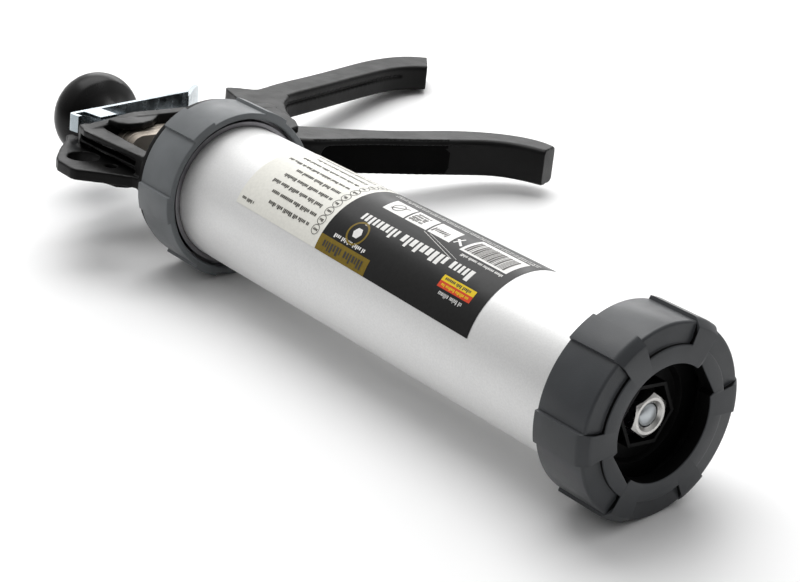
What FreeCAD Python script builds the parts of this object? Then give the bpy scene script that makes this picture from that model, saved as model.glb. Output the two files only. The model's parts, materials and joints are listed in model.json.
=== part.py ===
"""Skeleton caulking gun with a closed aluminium barrel, lying on its right side.

Everything is built in the gun's own frame: the barrel axis is X and points forward,
+Y runs down the handle, +Z is the gun's left side and x = 0 is the front cap's outer edge.
At the end the whole gun is rolled until it rests on its two ring caps and the handle tip,
and moved so that the origin is the centre of the bottom of its box.
"""
import FreeCAD, Part
import math
import os

Vec = FreeCAD.Vector
X_AXIS = Vec(1, 0, 0)
Z_AXIS = Vec(0, 0, 1)
FULL_TURN = 360.0
CUT_OVER = 1.0                 # how far a cutting tool runs past the face it opens

# ---- driving dimensions, millimetres and degrees ----
ROLL = 7.5                     # roll of the gun about its barrel axis as it lies

TUBE_R = 26.55
TUBE_WALL = 1.5
TUBE_FRONT = -5.0
TUBE_REAR = -242.0

RING_R = 33.5                  # over the raised teeth of both ring caps
RING_BODY_R = 32.3             # between the teeth
TOOTH_COUNT = 6
TOOTH_ANGLE = 18.5
TOOTH_START = 5.3              # where the first tooth's middle lies
RUN_GAP = 0.4                  # radial gap between parts that turn or slide on each other
PIN_FIT = 0.08                 # radial clearance of the trigger on its pin
TOUCH_GAP = 0.05               # gap between parts that are fixed to each other

FRONT_CAP_DEPTH = 20.4
FRONT_STAR_RISE = 1.4
FRONT_WALL = 3.8
FRONT_POCKET_R = 25.4
NOZZLE_R = 19.4
NOTCH_SPAN = 40.0
NOTCH_WIDTH = 13.3
NOTCH_ANGLE = 36.3
COLLAR_R = 30.3
THREAD_DEPTH = 0.7
THREAD_PITCH = 3.0

REAR_RING_FRONT = -226.6
REAR_RING_DEPTH = 21.2
REAR_LIP = 4.4
REAR_LIP_R = 29.8
BOSS_R = 30.5
FERRULE_R = 28.6
FLANGE_REAR = -252.0

ROD_R = 4.0
ROD_FRONT = -5.2
KNOB_R = 18.8
KNOB_HALF_DEPTH = 14.5         # the knob is a flattened ball
KNOB_CENTRE = -338.4
KNOB_NECK_R = 8.0
KNOB_NECK_FRONT = 18.4
KNOB_SOCKET_DEPTH = 14.0

PISTON_R = 24.5
PISTON_FRONT = -8.5
PISTON_REAR = -18.0
NUT_FLATS = 13.0
NUT_HEIGHT = 6.5
NUT_FRONT = -4.7
NUT_TURN = 54.8
HEX_RIM_R = 11.6
HEX_RIM_FRONT = -6.0
HEX_RIM_WALL = 1.4
HEX_RIM_TURN = -2.2

FRAME_HALF = 12.0              # half width over the casting's cheeks
ROOF_HALF = 10.5
WALL_HALF = 14.0
SPINE_HALF = 2.25
WALL_FRONT = -291.0
WALL_REAR = -297.0
ROOF_INNER = -24.0
POCKET_FLOOR = -27.2
RAIL_WIDTH = 2.6
ROOF_RIB = 5.0                 # from the middle of the gun to the middle of the rib in the roof's pocket
RIB_WIDTH = 1.2
FLARE_DEPTH = 2.75
WALL_HUB_R = 9.0
ARM_SLOT = (13.0, 42.0)        # the window in the rear wall for the trigger's arm, up and down the gun
ARM_SLOT_HALF = 6.2
HANG_R = 6.2
HANG_HOLE = (-283.5, -37.0)
CORD_HOLE_R = 2.4
CORD_HOLE = (-268.9, -33.0)
BUSH_R = 6.5
CHEEK_INNER = 8.8
CHEEK_TOP = 26.0
HANDLE_HALF = 6.0

PIVOT = (-275.0, 44.0)
PIN_R = 3.0
TRIGGER_HALF = 8.0
TRIGGER_ARM_HALF = 5.0
HUB_R = 10.0

DRIVE_COUNT = 3
DRIVE_THICK = 4.0
DRIVE_STEP = 4.2
DRIVE_REAR = -290.4
DRIVE_HALF = 10.0
DRIVE_TOP = -19.0
DRIVE_BOTTOM = 22.0

SPRING_R = 8.4
SPRING_WIRE = 0.7
SPRING_TURNS = 5
SEAT_R = 11.0

RELEASE_HINGE = (-308.0, -27.6)
RELEASE_CANT = 13.4
RELEASE_THICK = 2.0
RELEASE_HALF = 12.0
RELEASE_LENGTH = 65.0
RELEASE_LIP = 4.0
FORK_HALF = 5.0                # the slot in the release plate's end that straddles the spine
FORK_DEPTH = 6.0
EAR_REACH = 9.5                # how far the ears at the release plate's sides reach forward
EAR_SPAN = (5.0, 14.0)         # where the ears start and end, measured down the plate from its hinge
EAR_THICK = 1.2
TAB_LENGTH = 24.0
TAB_BEND = 33.0
RELEASE_SPRING_REAR = -312.2
RELEASE_SPRING_R = 7.0
RELEASE_SPRING_WIRE = 0.6

LABEL_FRONT = -60.0
LABEL_REAR = -194.5
LABEL_START = 62.0             # angle of the label's edge nearest the handle
LABEL_END = 160.0
LABEL_THICK = 0.12


# ---- shared shapes ----
def cylinder_x(x_rear, x_front, radius, y=0.0, z=0.0):
    return Part.makeCylinder(radius, x_front - x_rear, Vec(x_rear, y, z), X_AXIS)


def pipe_x(x_rear, x_front, outer, inner):
    hole = cylinder_x(x_rear - CUT_OVER, x_front + CUT_OVER, inner)
    return cylinder_x(x_rear, x_front, outer).cut(hole)


def turned_x(profile):
    """A closed outline of (x, radius) points turned about the barrel axis."""
    points = [Vec(x, radius, 0) for x, radius in profile]
    face = Part.Face(Part.makePolygon(points + points[:1]))
    return face.revolve(Vec(0, 0, 0), X_AXIS, FULL_TURN)


def turn_about_x(shape, angle):
    turned = shape.copy()
    turned.rotate(Vec(0, 0, 0), X_AXIS, angle)
    return turned


def block(x_pair, y_pair, z_pair):
    low = Vec(x_pair[0], y_pair[0], z_pair[0])
    return Part.makeBox(x_pair[1] - x_pair[0], y_pair[1] - y_pair[0], z_pair[1] - z_pair[0], low)


def side_plate(outline, z_low, z_high):
    """A flat plate from a closed outline of (x, y) points, between two heights."""
    points = [Vec(x, y, z_low) for x, y in outline]
    face = Part.Face(Part.makePolygon(points + points[:1]))
    return face.extrude(Vec(0, 0, z_high - z_low))


def smooth_edge(points, z):
    curve = Part.BSplineCurve()
    curve.interpolate([Vec(x, y, z) for x, y in points])
    return curve.toShape()


def lever_blank(rear_points, front_points, half):
    """A lever between two smooth side lines, closed by straight ends."""
    rear = smooth_edge(rear_points, -half)
    front = smooth_edge(front_points, -half)
    ends = [Part.makeLine(Vec(*rear_points[-1], -half), Vec(*front_points[-1], -half)),
            Part.makeLine(Vec(*front_points[0], -half), Vec(*rear_points[0], -half))]
    wire = Part.Wire(Part.__sortEdges__([rear, ends[0], front, ends[1]]))
    return Part.Face(wire).extrude(Vec(0, 0, 2 * half))


def hexagon_x(x_rear, x_front, corner_r, turn):
    points = []
    for corner in range(7):
        angle = math.radians(turn + 60 * corner)
        points.append(Vec(x_rear, corner_r * math.cos(angle), corner_r * math.sin(angle)))
    return Part.Face(Part.makePolygon(points)).extrude(Vec(x_front - x_rear, 0, 0))


def sector_x(x_rear, x_front, outer, inner, middle, width):
    """A stretch of a ring: the part of it within width degrees, centred on middle."""
    reach = outer * 1.5
    half = math.radians(width / 2)
    corners = [(0, 0), (reach * math.cos(half), -reach * math.sin(half)),
               (reach * math.cos(half), reach * math.sin(half))]
    points = [Vec(x_rear, y, z) for y, z in corners]
    wedge = Part.Face(Part.makePolygon(points + points[:1])).extrude(Vec(x_front - x_rear, 0, 0))
    return pipe_x(x_rear, x_front, outer, inner).common(turn_about_x(wedge, middle))


def tooth_angles():
    return [TOOTH_START + FULL_TURN / TOOTH_COUNT * k for k in range(TOOTH_COUNT)]


def fuse_all(shapes):
    return shapes[0].multiFuse(shapes[1:]).removeSplitter()


def rounded(shape, radius, wanted):
    """Round the edges that the test picks."""
    edges = [edge for edge in shape.Edges if wanted(edge)]
    return shape.makeFillet(radius, edges)


def coil_x(x_rear, x_front, radius, wire_r, turns):
    """A compression spring about the barrel axis: eight-sided wire in short straight runs."""
    steps_per_turn = 12
    count = turns * steps_per_turn
    length = x_front - x_rear - 2 * wire_r
    sections = []
    for step in range(count + 1):
        angle = 2 * math.pi * step / steps_per_turn
        outward = Vec(0, math.cos(angle), math.sin(angle))
        middle = outward * radius + Vec(x_rear + wire_r + length * step / count, 0, 0)
        corners = []
        for side in range(9):
            turn = math.pi / 4 * side
            corners.append(middle + outward * (wire_r * math.cos(turn)) + X_AXIS * (wire_r * math.sin(turn)))
        sections.append(Part.makePolygon(corners))
    return Part.makeLoft(sections, True, True)


# ---- barrel ----
def barrel_tube():
    return pipe_x(TUBE_REAR, TUBE_FRONT, TUBE_R, TUBE_R - TUBE_WALL)


def front_thread_collar():
    rear = TUBE_FRONT - 15.0
    sleeve = pipe_x(rear, TUBE_FRONT, COLLAR_R - THREAD_DEPTH, TUBE_R + TOUCH_GAP)
    ridges = []
    for k in range(4):
        foot = rear + 1.2 + k * THREAD_PITCH
        ridges.append(turned_x([(foot, COLLAR_R - THREAD_DEPTH - 0.3), (foot + 2.0, COLLAR_R - THREAD_DEPTH - 0.3),
                                (foot + 1.3, COLLAR_R), (foot + 0.7, COLLAR_R)]))
    bore = cylinder_x(rear - CUT_OVER, TUBE_FRONT + CUT_OVER, TUBE_R + TOUCH_GAP)
    return fuse_all([sleeve] + ridges).cut(bore)


def cap_seal():
    """The flat washer between the tube's front end and the cap's front wall."""
    return pipe_x(TUBE_FRONT + 0.05, -FRONT_WALL - 0.05, COLLAR_R - 0.4, TUBE_R - TUBE_WALL)


def nozzle_opening(x_rear, x_front):
    slot = block((x_rear, x_front), (-NOTCH_SPAN / 2, NOTCH_SPAN / 2), (-NOTCH_WIDTH / 2, NOTCH_WIDTH / 2))
    return cylinder_x(x_rear, x_front, NOZZLE_R).fuse(turn_about_x(slot, NOTCH_ANGLE))


def front_cap():
    rear = -FRONT_CAP_DEPTH
    chamfer = 1.2
    drum = turned_x([(rear, 0), (rear, RING_BODY_R - 0.6), (rear + 0.6, RING_BODY_R),
                     (-chamfer, RING_BODY_R), (0, RING_BODY_R - chamfer), (0, 0)])
    star = turned_x([(-1, 0), (-1, FRONT_POCKET_R), (FRONT_STAR_RISE - 0.4, FRONT_POCKET_R),
                     (FRONT_STAR_RISE, FRONT_POCKET_R - 0.4), (FRONT_STAR_RISE, 0)])
    tooth = turned_x([(rear, NOZZLE_R), (rear, RING_R - 0.6), (rear + 0.6, RING_R),
                      (-1.4, RING_R), (FRONT_STAR_RISE - 0.2, RING_R - 2.2),
                      (FRONT_STAR_RISE, RING_R - 3.4), (FRONT_STAR_RISE, NOZZLE_R)])
    teeth = []
    for middle in tooth_angles():
        teeth.append(tooth.common(sector_x(rear, FRONT_STAR_RISE, RING_R + 1, NOZZLE_R, middle, TOOTH_ANGLE)))
    thread_bore = cylinder_x(rear - CUT_OVER, -FRONT_WALL, COLLAR_R + RUN_GAP)
    opening = nozzle_opening(-FRONT_WALL - CUT_OVER, FRONT_STAR_RISE + CUT_OVER)
    return fuse_all([drum, star] + teeth).cut(thread_bore).cut(opening)


def rear_ring_nut():
    front = REAR_RING_FRONT
    rear = front - REAR_RING_DEPTH
    chamfer = 1.0
    drum = turned_x([(rear, 0), (rear, RING_BODY_R - 0.6), (rear + 0.6, RING_BODY_R),
                     (front - chamfer, RING_BODY_R), (front, RING_BODY_R - chamfer), (front, 0)])
    tooth = turned_x([(rear, BOSS_R), (rear, RING_R - 0.6), (rear + 0.6, RING_R),
                      (front - chamfer, RING_R), (front, RING_R - chamfer), (front, BOSS_R)])
    teeth = []
    for middle in tooth_angles():
        teeth.append(tooth.common(sector_x(rear, front, RING_R + 1, BOSS_R, middle, TOOTH_ANGLE)))
    bore = cylinder_x(rear - CUT_OVER, front - REAR_LIP, BOSS_R + RUN_GAP)
    mouth = turned_x([(rear, 0), (rear, REAR_LIP_R), (front - 1.6, REAR_LIP_R), (front + 0.2, REAR_LIP_R + 1.8),
                      (front + CUT_OVER, REAR_LIP_R + 1.8), (front + CUT_OVER, 0)])
    ring = fuse_all([drum] + teeth).cut(bore).cut(mouth)
    notches = []
    for k in range(3):
        notches.append(sector_x(front - REAR_LIP - 0.5, front + 0.5, BOSS_R + RUN_GAP, REAR_LIP_R - 1,
                                TOOTH_START + 30 + 120 * k, 22))
    return ring.cut(notches[0].multiFuse(notches[1:]))


def barrel_ferrule():
    front = REAR_RING_FRONT - 1.8
    back = REAR_RING_FRONT - REAR_LIP
    bore = TUBE_R + TOUCH_GAP
    return turned_x([(back - 2.6, bore), (back - 2.6, BOSS_R), (back - 0.2, BOSS_R), (back - 0.2, FERRULE_R),
                     (front - 0.5, FERRULE_R), (front, FERRULE_R - 0.5), (front, bore)])


def barrel_seal():
    front = REAR_RING_FRONT - REAR_LIP - 2.7
    return pipe_x(front - 1.4, front, BOSS_R - 0.6, TUBE_R + TOUCH_GAP)


def barrel_label():
    middle = (LABEL_START + LABEL_END) / 2
    # the label wraps more than a quarter turn, so it is two stretches side by side
    quarter = (LABEL_END - LABEL_START) / 2
    halves = []
    for side in (-1, 1):
        halves.append(sector_x(LABEL_REAR, LABEL_FRONT, TUBE_R + LABEL_THICK + 0.02, TUBE_R + 0.02,
                               middle + side * quarter / 2, quarter))
    return fuse_all(halves)


# ---- rod and piston ----
def push_rod():
    rear = KNOB_CENTRE + 2.0
    return turned_x([(rear, 0), (rear, ROD_R - 0.5), (rear + 0.5, ROD_R), (ROD_FRONT - 0.8, ROD_R),
                     (ROD_FRONT, ROD_R - 0.8), (ROD_FRONT, 0)])


def nut_on_rod(x_rear, x_front, turn):
    corner_r = NUT_FLATS / 2 / math.cos(math.radians(30))
    nut = hexagon_x(x_rear, x_front, corner_r, turn)
    flat_r = NUT_FLATS / 2 * 0.97
    cone = turned_x([(x_rear - 0.1, 0), (x_rear - 0.1, flat_r), (x_rear + 1.0, corner_r + 0.4),
                     (x_front - 1.0, corner_r + 0.4), (x_front, flat_r), (x_front, 0)])
    bore = turned_x([(x_rear - CUT_OVER, 0), (x_rear - CUT_OVER, ROD_R + TOUCH_GAP),
                     (x_front - 0.9, ROD_R + TOUCH_GAP), (x_front + 0.1, ROD_R + 1.0), (x_front + CUT_OVER, 0)])
    return nut.common(cone).cut(bore)


def piston_front_nut():
    return nut_on_rod(NUT_FRONT - NUT_HEIGHT, NUT_FRONT, NUT_TURN)


def piston():
    seal_seat = -13.2
    body = turned_x([(PISTON_REAR, 0), (PISTON_REAR, PISTON_R), (seal_seat - 2.6, PISTON_R),
                     (seal_seat - 2.6, PISTON_R - 2.4), (seal_seat, PISTON_R - 2.4), (seal_seat, PISTON_R),
                     (PISTON_FRONT - 1.2, PISTON_R), (PISTON_FRONT, PISTON_R - 1.2),
                     (PISTON_FRONT, 17.0), (PISTON_FRONT - 2.0, 16.0), (PISTON_FRONT - 2.0, 0)])
    rim = hexagon_x(PISTON_FRONT - 2.5, HEX_RIM_FRONT, HEX_RIM_R, HEX_RIM_TURN)
    nut_seat = NUT_FRONT - NUT_HEIGHT - TOUCH_GAP
    well = hexagon_x(nut_seat, HEX_RIM_FRONT + CUT_OVER, HEX_RIM_R - HEX_RIM_WALL, HEX_RIM_TURN)
    hollow = pipe_x(PISTON_REAR - CUT_OVER, PISTON_REAR + 2.0, PISTON_R - 3.0, 19.0)
    bore = cylinder_x(PISTON_REAR - CUT_OVER, PISTON_FRONT + CUT_OVER, ROD_R + TOUCH_GAP)
    return fuse_all([body, rim]).cut(well).cut(hollow).cut(bore)


def piston_seal():
    return turned_x([(-15.7, PISTON_R - 2.3), (-15.7, PISTON_R + 0.1), (-15.1, PISTON_R + 0.25),
                     (-13.9, PISTON_R + 0.25), (-13.3, PISTON_R + 0.1), (-13.3, PISTON_R - 2.3)])


def piston_washer():
    return pipe_x(PISTON_REAR - 1.65, PISTON_REAR - TOUCH_GAP, 17.0, ROD_R + TOUCH_GAP)


def piston_rear_nut():
    front = PISTON_REAR - 1.7
    return nut_on_rod(front - NUT_HEIGHT, front, 20.0)


def knob():
    """A flattened ball that tapers forward to a neck, with a small flat on its back."""
    c = KNOB_CENTRE
    front = c + KNOB_NECK_FRONT
    outline = Part.Ellipse(Vec(c, KNOB_R, 0), Vec(c - KNOB_HALF_DEPTH, 0, 0), Vec(c, 0, 0)).toShape()
    upper_half = block((c - KNOB_R, c + 6.0), (0, KNOB_R + 1), (-1, 1))
    ball = Part.Face(Part.Wire(outline)).common(upper_half).revolve(Vec(0, 0, 0), X_AXIS, FULL_TURN)
    neck = turned_x([(c, 0), (c, 15.0), (c + 6.0, 17.0), (c + 12.0, 10.4), (front - 1.2, KNOB_NECK_R),
                     (front, KNOB_NECK_R - 0.8), (front, 0)])
    flat = block((c - KNOB_R, c - KNOB_HALF_DEPTH + 0.9), (-KNOB_R, KNOB_R), (-KNOB_R, KNOB_R))
    bore = cylinder_x(c + 2.0, front + CUT_OVER, ROD_R + TOUCH_GAP)
    well = cylinder_x(c + 2.0, c + KNOB_SOCKET_DEPTH, 6.0)
    return Part.Solid(ball.Shells[0]).fuse(neck).cut(flat).cut(well).cut(bore).removeSplitter()


def knob_insert():
    return pipe_x(KNOB_CENTRE + 2.05, KNOB_CENTRE + 13.95, 5.95, ROD_R + TOUCH_GAP)


# ---- casting with its fixed handle ----
HANDLE_REAR_LINE = [(-343.4, 68.4), (-336.9, 78.0), (-340.5, 89.4), (-348.4, 112.9),
                    (-358.9, 143.8), (-368.0, 175.4), (-368.0, 189.0), (-362.5, 200.5)]
HANDLE_FRONT_LINE = [(-314.0, 76.0), (-324.0, 90.0), (-328.6, 103.0), (-337.2, 128.9),
                     (-345.2, 153.5), (-349.4, 175.0), (-346.3, 187.9)]
SPINE_LINE = [(-249.0, -26.0), (-247.9, -30.2), (-254.0, -32.4), (-262.0, -40.0), (-269.4, -48.4), (-272.0, -49.3),
              (-282.0, -49.3), (-286.4, -47.6), (-296.7, -40.3), (-306.0, -32.4), (-311.5, -29.4), (-311.5, -26.4),
              (-300.0, -25.5)]
ROOF_LINE = [(-249.0, ROOF_INNER), (-249.0, -29.6), (-270.0, -31.8), (-290.0, -33.8), (-298.0, -31.6),
             (-299.5, -28.6), (-297.0, ROOF_INNER)]


def casting_flange():
    boss = cylinder_x(FLANGE_REAR + 3.6, REAR_RING_FRONT - REAR_LIP - 4.2, BOSS_R)
    disc = turned_x([(FLANGE_REAR, 0), (FLANGE_REAR, 30.6), (FLANGE_REAR + 0.8, 31.4),
                     (FLANGE_REAR + 3.7, 31.4), (FLANGE_REAR + 3.7, 0)])
    socket = cylinder_x(TUBE_REAR - 0.2, 0, TUBE_R + 0.1)
    well = cylinder_x(FLANGE_REAR + 5.0, 0, TUBE_R - TUBE_WALL - 1.0)
    return boss.fuse(disc).cut(socket).cut(well)


def casting_roof():
    """The beam over the rod: a pocket on the left leaves a floor and a rail with a rib between, and the
    right side is flush with the spine but for a flare where it meets the flange."""
    beam = side_plate(ROOF_LINE, -SPINE_HALF, ROOF_HALF)
    pocket_line = [(-256.0, POCKET_FLOOR), (-256.0, -50.0), (-294.0, -50.0), (-294.0, POCKET_FLOOR)]
    rib_line = [(-254.0, POCKET_FLOOR + 1), (-254.0, -29.8), (-270.0, -31.0), (-295.0, -33.0),
                (-295.0, POCKET_FLOOR + 1)]
    beam = beam.cut(side_plate(pocket_line, SPINE_HALF, ROOF_HALF - RAIL_WIDTH))
    beam = beam.fuse(side_plate(rib_line, ROOF_RIB - RIB_WIDTH / 2, ROOF_RIB + RIB_WIDTH / 2))
    flare_line = [(-257.0, 1 - SPINE_HALF), (-257.0, -SPINE_HALF), (-249.0, -SPINE_HALF - FLARE_DEPTH),
                  (-249.0, 1 - SPINE_HALF)]
    corners = [Vec(x, ROOF_INNER, z) for x, z in flare_line]
    flare = Part.Face(Part.makePolygon(corners + corners[:1])).extrude(Vec(0, -29.6 - ROOF_INNER, 0))
    return beam.fuse(flare)


def spine_holes():
    """The hanging hole and the smaller cord hole through the spine."""
    depth = 2 * SPINE_HALF + 1.0
    holes = []
    for (x, y), radius in ((HANG_HOLE, HANG_R), (CORD_HOLE, CORD_HOLE_R)):
        holes.append(Part.makeCylinder(radius, depth, Vec(x, y, -depth / 2), Z_AXIS))
    return holes


def casting_rear_wall():
    """The upright plate behind the drive plates, wider where the rod passes through it."""
    outline = [(-30.0, ROOF_HALF), (-8.0, WALL_HALF), (26.0, WALL_HALF), (60.0, FRAME_HALF)]
    outline += [(y, -z) for y, z in reversed(outline)]
    points = [Vec(WALL_REAR, y, z) for y, z in outline]
    wall = Part.Face(Part.makePolygon(points + points[:1])).extrude(Vec(WALL_FRONT - WALL_REAR, 0, 0))
    hub = cylinder_x(WALL_REAR - 3.0, WALL_REAR + 1.0, WALL_HUB_R)
    arm_slot = block((WALL_REAR - 5, WALL_FRONT + 1), ARM_SLOT, (-ARM_SLOT_HALF, ARM_SLOT_HALF))
    bush_bore = cylinder_x(WALL_REAR - 4, WALL_FRONT + 1, BUSH_R + TOUCH_GAP)
    return wall.fuse(hub).cut(arm_slot).cut(bush_bore)


def wall_gussets():
    """The two rounded pads that stiffen the rear wall beside the drive plates."""
    outline = [(-292.0, -22.0), (-286.5, -20.5), (-283.6, -17.0), (-283.2, -11.0), (-285.5, -5.0), (-292.0, 2.0)]
    gussets = []
    for side in (-1, 1):
        low, high = sorted((side * (DRIVE_HALF + 0.8), side * (WALL_HALF - 0.4)))
        gussets.append(side_plate(outline, low, high))
    return gussets


def casting_cheeks():
    """The two side plates that carry the trigger's pivot pin."""
    outline = [(-249.5, CHEEK_TOP), (-250.0, 30.5), (-258.0, 36.0), (-264.0, 52.0), (-272.0, 56.0),
               (-296.0, 60.0), (-296.0, CHEEK_TOP)]
    cheeks = []
    for side in (-1, 1):
        low, high = sorted((side * CHEEK_INNER, side * FRAME_HALF))
        plate = side_plate(outline, low, high)
        bore = Part.makeCylinder(PIN_R + TOUCH_GAP, 40, Vec(*PIVOT, -20), Z_AXIS)
        cheeks.append(plate.cut(bore))
    return cheeks


def casting_handle():
    blank = lever_blank(HANDLE_REAR_LINE, HANDLE_FRONT_LINE, HANDLE_HALF)
    blank = rounded(blank, 1.8, lambda edge: abs(edge.CenterOfMass.z) > HANDLE_HALF - 0.01 and edge.Length > 60)
    tang = side_plate([(-291.5, 50.0), (-297.0, 56.5), (-320.0, 61.5), (-340.0, 66.6), (-343.4, 68.4),
                       (-341.5, 72.5), (-337.2, 78.0), (-331.0, 88.0), (-322.5, 88.5), (-314.0, 80.0),
                       (-302.0, 73.0), (-291.5, 68.5)], -HANDLE_HALF, HANDLE_HALF)
    # a shallow crease runs along the front of the grip
    crease_rear = [(x - 1.3, y) for x, y in HANDLE_FRONT_LINE[:-1]]
    crease_front = [(x + 6.0, y) for x, y in HANDLE_FRONT_LINE[:-1]]
    crease = lever_blank(crease_rear, crease_front, 0.7)
    crease.translate(Vec(0, 0, 1.4))
    return blank.fuse(tang).cut(crease)


def body_casting():
    spine = side_plate(SPINE_LINE, -SPINE_HALF, SPINE_HALF)
    pieces = [casting_flange(), casting_roof(), spine, casting_rear_wall(), casting_handle()]
    pieces += wall_gussets()
    pieces += casting_cheeks()
    casting = fuse_all(pieces)
    rod_hole = cylinder_x(FLANGE_REAR - CUT_OVER, FLANGE_REAR + 8, BUSH_R + TOUCH_GAP)
    return casting.cut([rod_hole] + spine_holes())


def guide_bush(x_rear, x_front, flange_at_front):
    """A nylon bush for the rod, with a flange on the side that takes the load."""
    sleeve = pipe_x(x_rear, x_front, BUSH_R, ROD_R + RUN_GAP)
    if flange_at_front:
        flange = pipe_x(x_front, x_front + 0.5, BUSH_R + 1.5, ROD_R + RUN_GAP)
    else:
        flange = pipe_x(x_rear - 1.2, x_rear, BUSH_R + 2.5, ROD_R + RUN_GAP)
    return sleeve.fuse(flange).removeSplitter()


def rear_guide_bush():
    return guide_bush(WALL_REAR - 3.0, WALL_FRONT, True)


def front_guide_bush():
    return guide_bush(FLANGE_REAR, FLANGE_REAR + 5.0, False)


# ---- trigger and its drive ----
TRIGGER_REAR_LINE = [(-281.5, 51.6), (-276.0, 62.5), (-265.7, 80.4), (-256.7, 100.0), (-249.6, 122.0),
                     (-240.0, 139.5), (-228.6, 149.6), (-214.8, 152.4)]
TRIGGER_FRONT_LINE = [(-264.5, 42.0), (-254.5, 58.0), (-249.4, 76.5), (-241.6, 96.5), (-233.4, 119.0),
                      (-225.6, 133.3), (-218.3, 138.6), (-210.3, 142.2)]
TRIGGER_RECESS = [3.4, 3.2, 2.4, 1.1, -0.6]    # depth at the second to sixth points of the front line


def trigger():
    lever = lever_blank(TRIGGER_REAR_LINE, TRIGGER_FRONT_LINE, TRIGGER_HALF)
    lever = rounded(lever, 2.2, lambda edge: abs(edge.CenterOfMass.z) > TRIGGER_HALF - 0.01 and edge.Length > 60)
    # the front of the grip is hollowed below a bead on its left edge, and the hollow runs out towards the tip
    recessed = TRIGGER_FRONT_LINE[1:6]
    hollow_rear = [(x - depth, y) for (x, y), depth in zip(recessed, TRIGGER_RECESS)]
    hollow_front = [(x + 8.0, y) for x, y in recessed]
    hollow = lever_blank(hollow_rear, hollow_front, TRIGGER_HALF)
    hollow = rounded(hollow, 4.0, lambda edge: edge.CenterOfMass.z > TRIGGER_HALF - 0.01 and edge.CenterOfMass.y < 60)
    hollow.translate(Vec(0, 0, -2.6))
    hub = Part.makeCylinder(HUB_R, 2 * TRIGGER_HALF, Vec(*PIVOT, -TRIGGER_HALF), Z_AXIS)
    arm_line = [(-291.0, 18.5), (-291.0, 25.0), (-284.0, 33.0), (-268.0, 37.0), (-270.0, 52.0), (-283.0, 50.0),
                (-296.6, 32.0), (-296.6, 20.0), (-293.8, 16.6), (-292.2, 16.6)]
    arm = side_plate(arm_line, -TRIGGER_ARM_HALF, TRIGGER_ARM_HALF)
    bore = Part.makeCylinder(PIN_R + PIN_FIT, 40, Vec(*PIVOT, -20), Z_AXIS)
    return fuse_all([lever.cut(hollow), hub, arm]).cut(bore)


def trigger_pin():
    half = FRAME_HALF + 0.1
    shank = Part.makeCylinder(PIN_R, 2 * half + 3.2, Vec(*PIVOT, -half - 3.2), Z_AXIS)
    head = Part.makeCylinder(PIN_R + 2.0, 1.8, Vec(*PIVOT, half), Z_AXIS)
    groove = Part.makeCylinder(PIN_R + 1, 1.0, Vec(*PIVOT, -half - 1.2), Z_AXIS)
    core = Part.makeCylinder(PIN_R - 0.7, 1.0, Vec(*PIVOT, -half - 1.2), Z_AXIS)
    return shank.fuse(rounded(head, 0.7, lambda edge: edge.CenterOfMass.z > half + 1)).cut(groove.cut(core))


def pin_clip():
    z_low = -FRAME_HALF - 0.1 - 1.15
    disc = Part.makeCylinder(PIN_R + 2.6, 0.9, Vec(*PIVOT, z_low), Z_AXIS)
    bore = Part.makeCylinder(PIN_R - 0.65, 3, Vec(*PIVOT, z_low - 1), Z_AXIS)
    mouth = block((PIVOT[0] - 1.9, PIVOT[0] + 1.9), (PIVOT[1], PIVOT[1] + 9), (z_low - 1, z_low + 2))
    return disc.cut(bore).cut(mouth)


def trigger_washers():
    rings = []
    for low in (-CHEEK_INNER + 0.05, TRIGGER_HALF + 0.05):
        ring = Part.makeCylinder(HUB_R - 2, CHEEK_INNER - TRIGGER_HALF - 0.1, Vec(*PIVOT, low), Z_AXIS)
        hole = Part.makeCylinder(PIN_R + TOUCH_GAP, 3, Vec(*PIVOT, low - 1), Z_AXIS)
        rings.append(ring.cut(hole))
    return Part.makeCompound(rings)


def drive_plate(number):
    rear = DRIVE_REAR + number * DRIVE_STEP
    plate = block((rear, rear + DRIVE_THICK), (DRIVE_TOP, DRIVE_BOTTOM), (-DRIVE_HALF, DRIVE_HALF))
    plate = rounded(plate, 6.0, lambda edge: edge.Length < DRIVE_THICK + 0.01 and edge.CenterOfMass.y < 0)
    plate = rounded(plate, 2.0, lambda edge: edge.Length < DRIVE_THICK + 0.01 and edge.CenterOfMass.y > 20)
    return plate.cut(cylinder_x(rear - 1, rear + DRIVE_THICK + 1, ROD_R + RUN_GAP))


def spring_seat():
    rear = FLANGE_REAR - 2.2
    plate = pipe_x(rear, FLANGE_REAR - 1.3, SEAT_R, ROD_R + RUN_GAP)
    lip = pipe_x(rear - 1.2, rear, SEAT_R, SEAT_R - 1.2)
    return plate.fuse(lip).removeSplitter()


def return_spring():
    rear = DRIVE_REAR + (DRIVE_COUNT - 1) * DRIVE_STEP + DRIVE_THICK + 0.1
    return coil_x(rear, FLANGE_REAR - 2.3, SPRING_R, SPRING_WIRE, SPRING_TURNS)


# ---- release plate ----
def canted(shape):
    """Lean a plate built upright at the hinge so that its lower end goes back."""
    leaned = shape.copy()
    leaned.rotate(Vec(*RELEASE_HINGE, 0), Z_AXIS, RELEASE_CANT)
    return leaned


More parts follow.
